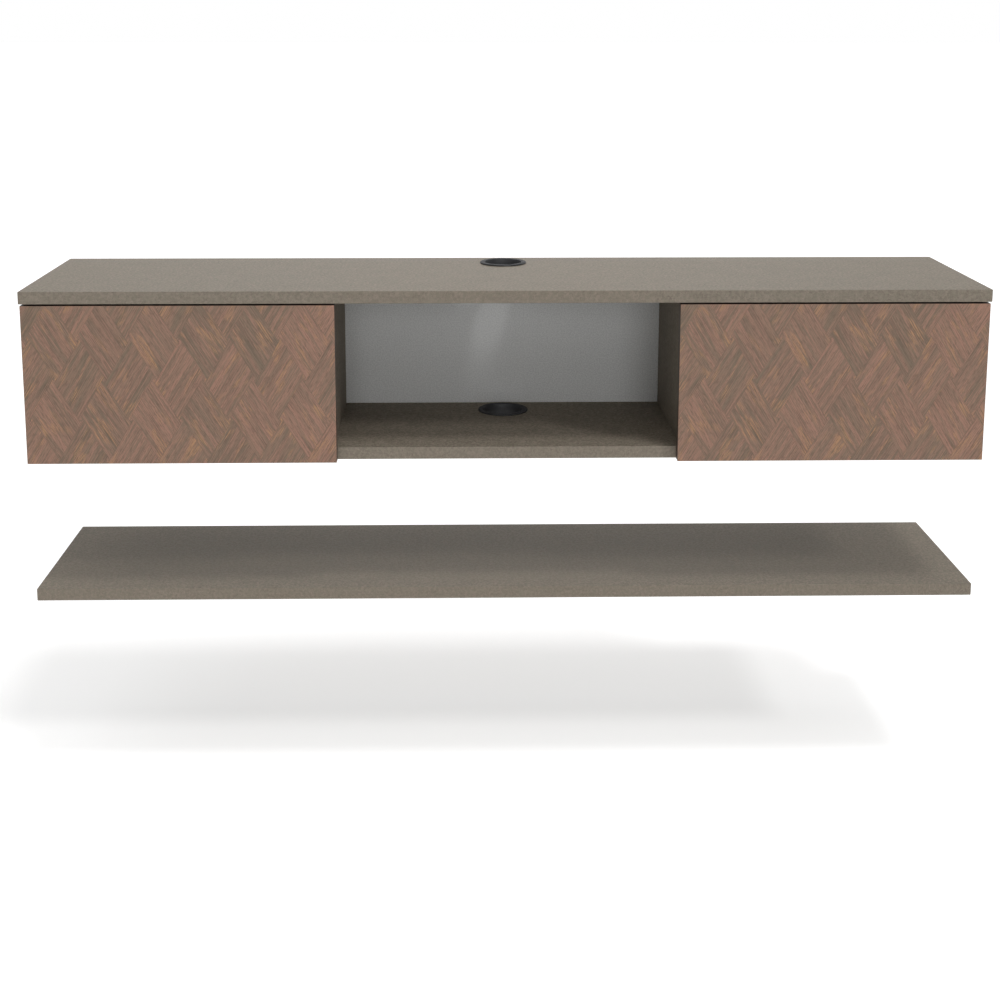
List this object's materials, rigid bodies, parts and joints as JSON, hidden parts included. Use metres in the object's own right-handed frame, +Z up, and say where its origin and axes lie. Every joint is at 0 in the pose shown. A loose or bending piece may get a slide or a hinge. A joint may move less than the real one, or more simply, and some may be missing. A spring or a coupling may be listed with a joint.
{
  "type": "floating media console",
  "caption": "Wall-hung media cabinet with drop-down herringbone flaps beside an open bay, cable grommets, and a separate floating shelf below.",
  "frame": {"origin": "centre of the rear face of the wall cleat, on the wall plane, where the console is fastened", "axes": "+X to the right seen from the front along the console's length, +Y into the wall, +Z up"},
  "size_m": [1.4, 0.314, 0.4735],
  "materials": {
    "taupe_laminate": "matt taupe laminate on board",
    "herringbone_veneer": "satin brown wood veneer laid in herringbone",
    "pale_backboard": "matt pale grey painted backboard",
    "black_plastic": "satin black moulded plastic",
    "plywood": "plain sanded plywood",
    "zinc_steel": "bright zinc plated steel",
    "dark_steel": "dark burnished steel",
    "grey_plastic": "satin grey moulded plastic",
    "soft_rubber": "soft grey rubber"
  },
  "bodies": {
    "cabinet": {"top_panel": "taupe_laminate", "bottom_panel": "taupe_laminate", "back_panel": "pale_backboard", "left_side_panel": "taupe_laminate", "right_side_panel": "taupe_laminate", "left_divider": "taupe_laminate", "right_divider": "taupe_laminate", "top_grommet": "black_plastic", "floor_grommet": "black_plastic", "cabinet_cleat": "plywood", "wall_cleat": "plywood", "wall_spacer": "plywood", "cleat_screw_1": "zinc_steel", "cleat_screw_2": "zinc_steel", "cleat_screw_3": "zinc_steel", "cleat_screw_4": "zinc_steel", "lower_shelf": "taupe_laminate", "shelf_bracket_1": "dark_steel", "shelf_bracket_2": "dark_steel", "shelf_bracket_3": "dark_steel", "shelf_bracket_4": "dark_steel", "left_hinge_fixed_leaf": "zinc_steel", "left_hinge_pin": "zinc_steel", "left_stay_side_plate": "zinc_steel", "left_stay_cabinet_pin": "dark_steel", "left_latch_body": "grey_plastic", "right_hinge_fixed_leaf": "zinc_steel", "right_hinge_pin": "zinc_steel", "right_stay_side_plate": "zinc_steel", "right_stay_cabinet_pin": "dark_steel", "right_latch_body": "grey_plastic"},
    "left_door": {"left_door_panel": "herringbone_veneer", "left_inner_bumper": "soft_rubber", "left_outer_bumper": "soft_rubber", "left_hinge_door_leaf": "zinc_steel", "left_stay_door_bracket": "zinc_steel", "left_stay_door_pin": "dark_steel", "left_strike_plate": "zinc_steel"},
    "right_door": {"right_door_panel": "herringbone_veneer", "right_inner_bumper": "soft_rubber", "right_outer_bumper": "soft_rubber", "right_hinge_door_leaf": "zinc_steel", "right_stay_door_bracket": "zinc_steel", "right_stay_door_pin": "dark_steel", "right_strike_plate": "zinc_steel"},
    "left_stay_housing": {"left_stay_housing": "grey_plastic", "left_stay_brake_screw": "dark_steel"},
    "right_stay_housing": {"right_stay_housing": "grey_plastic", "right_stay_brake_screw": "dark_steel"},
    "left_stay_rod": {"left_stay_rod": "zinc_steel", "left_stay_collar": "dark_steel"},
    "right_stay_rod": {"right_stay_rod": "zinc_steel", "right_stay_collar": "dark_steel"},
    "left_latch_plunger": {"left_latch_plunger": "dark_steel"},
    "right_latch_plunger": {"right_latch_plunger": "dark_steel"}
  },
  "joints": [
    {"name": "left_flap", "type": "hinge", "parent": "cabinet", "child": "left_door", "pos_m": [-0.4765, -0.29675, -0.17048], "axis": [1, 0, 0], "range_deg": [0, 90]},
    {"name": "right_flap", "type": "hinge", "parent": "cabinet", "child": "right_door", "pos_m": [0.4765, -0.29675, -0.17048], "axis": [1, 0, 0], "range_deg": [0, 90]},
    {"name": "left_stay_housing_pivot", "type": "hinge", "parent": "cabinet", "child": "left_stay_housing", "pos_m": [-0.664, -0.23646, -0.04461], "axis": [1, 0, 0], "range_deg": [0, 45]},
    {"name": "right_stay_housing_pivot", "type": "hinge", "parent": "cabinet", "child": "right_stay_housing", "pos_m": [0.664, -0.23646, -0.04461], "axis": [1, 0, 0], "range_deg": [0, 45]},
    {"name": "left_stay_rod_pivot", "type": "hinge", "parent": "left_door", "child": "left_stay_rod", "pos_m": [-0.664, -0.288, -0.03119], "axis": [1, 0, 0], "range_deg": [-45, 0]},
    {"name": "right_stay_rod_pivot", "type": "hinge", "parent": "right_door", "child": "right_stay_rod", "pos_m": [0.664, -0.288, -0.03119], "axis": [1, 0, 0], "range_deg": [-45, 0]},
    {"name": "left_latch_push", "type": "slide", "parent": "cabinet", "child": "left_latch_plunger", "axis": [0, 1, 0], "range_m": [0, 0.003], "stiffness_N_per_m": 200},
    {"name": "right_latch_push", "type": "slide", "parent": "cabinet", "child": "right_latch_plunger", "axis": [0, 1, 0], "range_m": [0, 0.003], "stiffness_N_per_m": 200}
  ],
  "couplings": [
    {"joint": "left_stay_housing_pivot", "follows": "left_flap", "ratio": 0.5},
    {"joint": "left_stay_rod_pivot", "follows": "left_flap", "ratio": -0.5},
    {"joint": "right_stay_housing_pivot", "follows": "right_flap", "ratio": 0.5},
    {"joint": "right_stay_rod_pivot", "follows": "right_flap", "ratio": -0.5}
  ]
}
